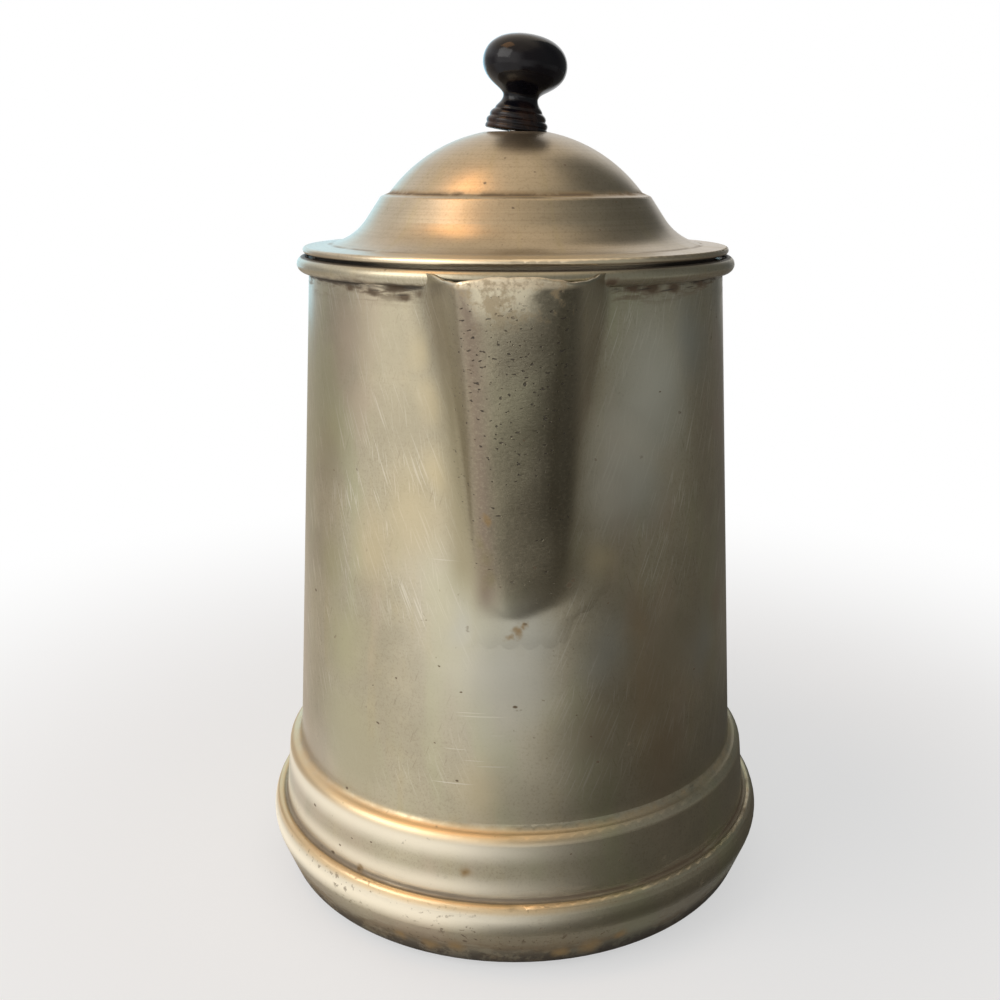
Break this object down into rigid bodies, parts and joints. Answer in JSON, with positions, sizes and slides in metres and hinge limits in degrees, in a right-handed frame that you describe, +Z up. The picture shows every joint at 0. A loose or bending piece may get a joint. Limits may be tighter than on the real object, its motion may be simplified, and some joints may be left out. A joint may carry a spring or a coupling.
{
  "type": "coffee pot",
  "caption": "Spun metal coffee pot with a stepped base, a pressed spout, a hinged domed lid with a turned wooden knob, and a wooden handle on riveted brackets.",
  "frame": {"origin": "centre of the flat bottom, on the surface the pot stands on", "axes": "+Z up, -Y out of the spout, +Y towards the handle and the lid's hinge"},
  "size_m": [0.161, 0.2093, 0.2563],
  "materials": {
    "body_aluminium": "worn, dull brushed, lightly oxidised",
    "lid_aluminium": "worn, dull brushed",
    "bracket_aluminium": "cast, satin",
    "hinge_aluminium": "satin sheet",
    "rivet_aluminium": "satin, worn bright on the heads",
    "steel": "dull",
    "knob_wood": "black gloss lacquer, worn at the foot",
    "grip_wood": "black satin lacquer, worn"
  },
  "bodies": {
    "pot": {"body_shell": "body_aluminium", "spout": "body_aluminium", "hinge_pin": "steel", "upper_handle_bracket": "bracket_aluminium", "upper_bracket_rivets": "rivet_aluminium", "lower_handle_bracket": "bracket_aluminium", "lower_bracket_rivets": "rivet_aluminium", "handle_grip": "grip_wood", "upper_grip_pin": "steel", "lower_grip_pin": "steel"},
    "lid": {"lid_shell": "lid_aluminium", "lid_collar": "lid_aluminium", "lid_hinge_leaf": "hinge_aluminium", "lid_leaf_rivets": "rivet_aluminium", "knob": "knob_wood", "knob_washer": "steel", "knob_screw": "steel"}
  },
  "joints": [
    {"name": "lid_hinge", "type": "hinge", "parent": "pot", "child": "lid", "pos_m": [0, 0.0705, 0.1965], "axis": [-1, 0, 0], "range_deg": [0, 110]}
  ]
}
